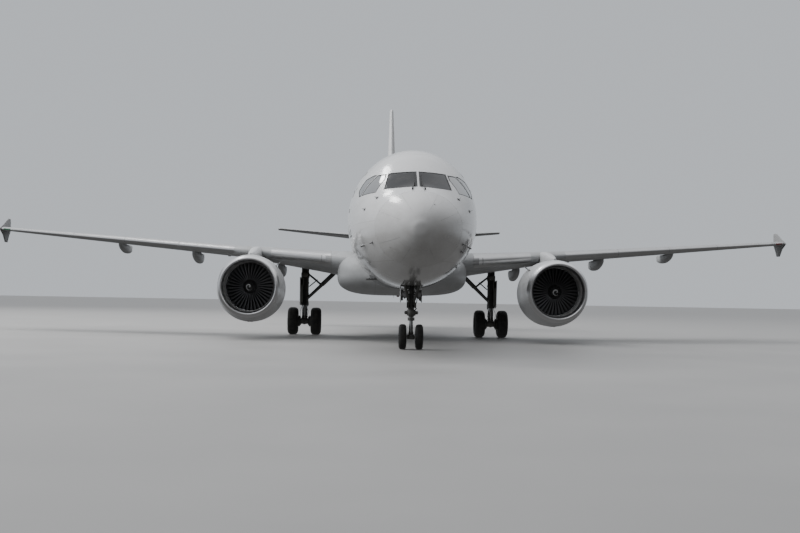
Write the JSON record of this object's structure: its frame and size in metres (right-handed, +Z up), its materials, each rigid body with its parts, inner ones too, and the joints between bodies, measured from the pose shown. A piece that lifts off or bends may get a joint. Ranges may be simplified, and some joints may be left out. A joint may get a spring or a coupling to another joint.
{
  "type": "narrow-body twin-engine airliner",
  "caption": "Parked low-wing jet airliner with underslung turbofans, wingtip fences and a conventional tail, on twin-wheel tricycle landing gear.",
  "frame": {"origin": "on the ground, under the middle of the overall length and of the span", "axes": "-Y towards the nose, +X towards the aircraft's left wing tip, +Z up"},
  "size_m": [34.1, 37.57, 12],
  "materials": {
    "white_paint": "gloss white paint",
    "grey_paint": "satin grey paint",
    "radome_paint": "satin white paint",
    "inlet_metal": "polished bare metal",
    "hot_alloy": "heat-tinted nickel alloy",
    "blade_metal": "dark titanium",
    "cockpit_glass": "dark laminated glass",
    "gear_paint": "grey enamel",
    "wheel_metal": "forged aluminium",
    "tyre": "black aircraft tyre"
  },
  "bodies": {
    "airframe": {"fuselage_forward": "white_paint", "fuselage_centre": "white_paint", "fuselage_aft": "white_paint", "tail_cone": "grey_paint", "belly_fairing": "white_paint", "fin": "white_paint", "windshield": "cockpit_glass", "side_glazing_left": "cockpit_glass", "wing_left": "grey_paint", "flap_inner_left": "grey_paint", "flap_outer_left": "grey_paint", "wing_fence_left": "white_paint", "stabiliser_left": "grey_paint", "inlet_lip_left": "inlet_metal", "fan_cowl_left": "white_paint", "engine_core_left": "hot_alloy", "pylon_left": "white_paint", "main_leg_left": "gear_paint", "side_stay_left": "gear_paint", "leg_door_left": "white_paint", "side_glazing_right": "cockpit_glass", "wing_right": "grey_paint", "flap_inner_right": "grey_paint", "flap_outer_right": "grey_paint", "wing_fence_right": "white_paint", "stabiliser_right": "grey_paint", "inlet_lip_right": "inlet_metal", "fan_cowl_right": "white_paint", "engine_core_right": "hot_alloy", "pylon_right": "white_paint", "main_leg_right": "gear_paint", "side_stay_right": "gear_paint", "leg_door_right": "white_paint", "nose_leg": "gear_paint", "nose_door_left": "white_paint", "nose_door_right": "white_paint"},
    "radome": {"radome": "radome_paint"},
    "cargo_door_forward": {"cargo_door_forward": "white_paint"},
    "cargo_door_aft": {"cargo_door_aft": "white_paint"},
    "rudder": {"rudder": "white_paint"},
    "aileron_left": {"aileron_left": "grey_paint"},
    "elevator_left": {"elevator_left": "grey_paint"},
    "fan_cowl_door_left_outer": {"fan_cowl_door_left_outer": "white_paint"},
    "fan_cowl_door_left_inner": {"fan_cowl_door_left_inner": "white_paint"},
    "fan_left": {"fan_left": "blade_metal"},
    "main_wheels_left": {"main_wheels_left": "wheel_metal", "main_tyre_left_outer": "tyre", "main_tyre_left_inner": "tyre"},
    "aileron_right": {"aileron_right": "grey_paint"},
    "elevator_right": {"elevator_right": "grey_paint"},
    "fan_cowl_door_right_outer": {"fan_cowl_door_right_outer": "white_paint"},
    "fan_cowl_door_right_inner": {"fan_cowl_door_right_inner": "white_paint"},
    "fan_right": {"fan_right": "blade_metal"},
    "main_wheels_right": {"main_wheels_right": "wheel_metal", "main_tyre_right_outer": "tyre", "main_tyre_right_inner": "tyre"},
    "nose_fork": {"nose_fork": "gear_paint"},
    "nose_wheels": {"nose_wheels": "wheel_metal", "nose_tyre_left": "tyre", "nose_tyre_right": "tyre"}
  },
  "joints": [
    {"name": "fan_left_spin", "type": "hinge", "parent": "airframe", "child": "fan_left", "pos_m": [5.52, -6.385, 1.86], "axis": [0, 1, 0], "continuous": true},
    {"name": "fan_right_spin", "type": "hinge", "parent": "airframe", "child": "fan_right", "pos_m": [-5.52, -6.385, 1.86], "axis": [0, 1, 0], "continuous": true},
    {"name": "main_wheels_left_spin", "type": "hinge", "parent": "airframe", "child": "main_wheels_left", "pos_m": [3.795, -1.075, 0.55025], "axis": [1, 0, 0], "continuous": true},
    {"name": "main_wheels_right_spin", "type": "hinge", "parent": "airframe", "child": "main_wheels_right", "pos_m": [-3.795, -1.075, 0.55025], "axis": [1, 0, 0], "continuous": true},
    {"name": "nose_steering", "type": "hinge", "parent": "airframe", "child": "nose_fork", "pos_m": [0, -13.715, 0.96], "axis": [0, 0, 1], "range_deg": [-75, 75]},
    {"name": "nose_wheels_spin", "type": "hinge", "parent": "nose_fork", "child": "nose_wheels", "pos_m": [0, -13.715, 0.37532], "axis": [1, 0, 0], "continuous": true},
    {"name": "aileron_left_hinge", "type": "hinge", "parent": "airframe", "child": "aileron_left", "pos_m": [13.36, 1.58899, 3.92004], "axis": [0.9377, 0.3364, 0.0871], "range_deg": [-25, 25]},
    {"name": "aileron_right_hinge", "type": "hinge", "parent": "airframe", "child": "aileron_right", "pos_m": [-13.36, 1.58899, 3.92004], "axis": [-0.9377, 0.3364, 0.0871], "range_deg": [-25, 25]},
    {"name": "elevator_left_hinge", "type": "hinge", "parent": "airframe", "child": "elevator_left", "pos_m": [1.33, 15.8747, 4.82699], "axis": [0.9378, 0.333, 0.0983], "range_deg": [-17, 30]},
    {"name": "elevator_right_hinge", "type": "hinge", "parent": "airframe", "child": "elevator_right", "pos_m": [-1.33, 15.8747, 4.82699], "axis": [-0.9378, 0.333, 0.0983], "range_deg": [-30, 17]},
    {"name": "rudder_hinge", "type": "hinge", "parent": "airframe", "child": "rudder", "pos_m": [0, 15.1722, 6.42], "axis": [0, 0.3215, 0.9469], "range_deg": [-25, 25]},
    {"name": "cargo_door_forward_hinge", "type": "hinge", "parent": "airframe", "child": "cargo_door_forward", "pos_m": [-1.896, -9.525, 3.358], "axis": [0, 1, 0], "range_deg": [0, 105]},
    {"name": "cargo_door_aft_hinge", "type": "hinge", "parent": "airframe", "child": "cargo_door_aft", "pos_m": [-1.896, 4.425, 3.358], "axis": [0, 1, 0], "range_deg": [0, 105]},
    {"name": "radome_hinge", "type": "hinge", "parent": "airframe", "child": "radome", "pos_m": [0, -17.429, 4.41], "axis": [-1, 0, 0], "range_deg": [0, 85]},
    {"name": "fan_cowl_door_left_outer_hinge", "type": "hinge", "parent": "airframe", "child": "fan_cowl_door_left_outer", "pos_m": [5.767, -5.965, 2.96204], "axis": [0, -1, 0], "range_deg": [0, 55]},
    {"name": "fan_cowl_door_left_inner_hinge", "type": "hinge", "parent": "airframe", "child": "fan_cowl_door_left_inner", "pos_m": [5.273, -5.965, 2.96204], "axis": [0, 1, 0], "range_deg": [0, 55]},
    {"name": "fan_cowl_door_right_outer_hinge", "type": "hinge", "parent": "airframe", "child": "fan_cowl_door_right_outer", "pos_m": [-5.767, -5.965, 2.96204], "axis": [0, 1, 0], "range_deg": [0, 55]},
    {"name": "fan_cowl_door_right_inner_hinge", "type": "hinge", "parent": "airframe", "child": "fan_cowl_door_right_inner", "pos_m": [-5.273, -5.965, 2.96204], "axis": [0, -1, 0], "range_deg": [0, 55]}
  ]
}
